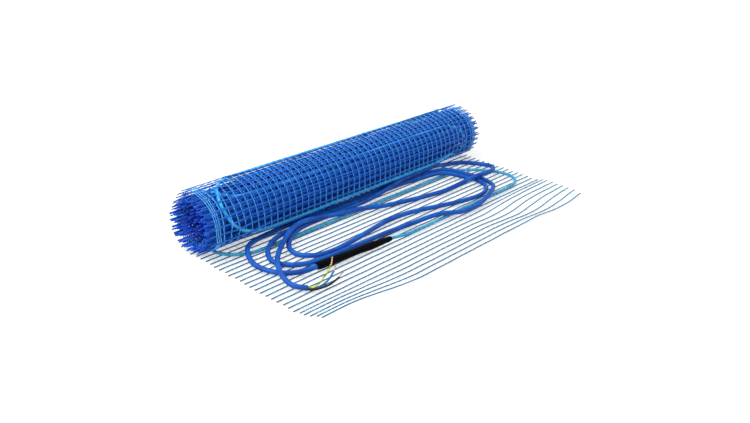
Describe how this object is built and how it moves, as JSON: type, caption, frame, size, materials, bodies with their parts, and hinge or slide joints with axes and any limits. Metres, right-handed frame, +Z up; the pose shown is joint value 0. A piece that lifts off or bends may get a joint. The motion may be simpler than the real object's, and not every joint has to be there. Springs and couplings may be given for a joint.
{
  "type": "underfloor heating mat",
  "caption": "Electric underfloor heating mat of woven mesh, partly rolled up, with its heating cable, splice sleeve and loose cold lead.",
  "frame": {"origin": "centre of the floor space that the rolled and the laid mesh cover, at floor level", "axes": "+X across the mat, along the roll; -Y from the roll towards the loose edge of the laid mesh; +Z up"},
  "size_m": [0.5, 0.248, 0.075],
  "materials": {
    "mesh": "glass-fibre mesh with a smooth blue coating",
    "heating_cable": "smooth light-blue insulation",
    "cold_lead": "smooth mid-blue sheath",
    "sleeve": "matt black heat-shrink tube",
    "earth_core": "smooth green and yellow insulation",
    "neutral_core": "smooth blue insulation",
    "live_core": "smooth black-brown insulation",
    "copper": "bare copper strands"
  },
  "bodies": {
    "root": {"mesh_sheet": "mesh", "mesh_roll": "mesh", "heating_cable": "heating_cable", "heating_cable_wound": "heating_cable", "splice_sleeve": "sleeve", "cold_lead": "cold_lead", "core_earth": "earth_core", "core_neutral": "neutral_core", "core_live": "live_core", "copper_earth": "copper", "copper_neutral": "copper", "copper_live": "copper"}
  },
  "joints": []
}
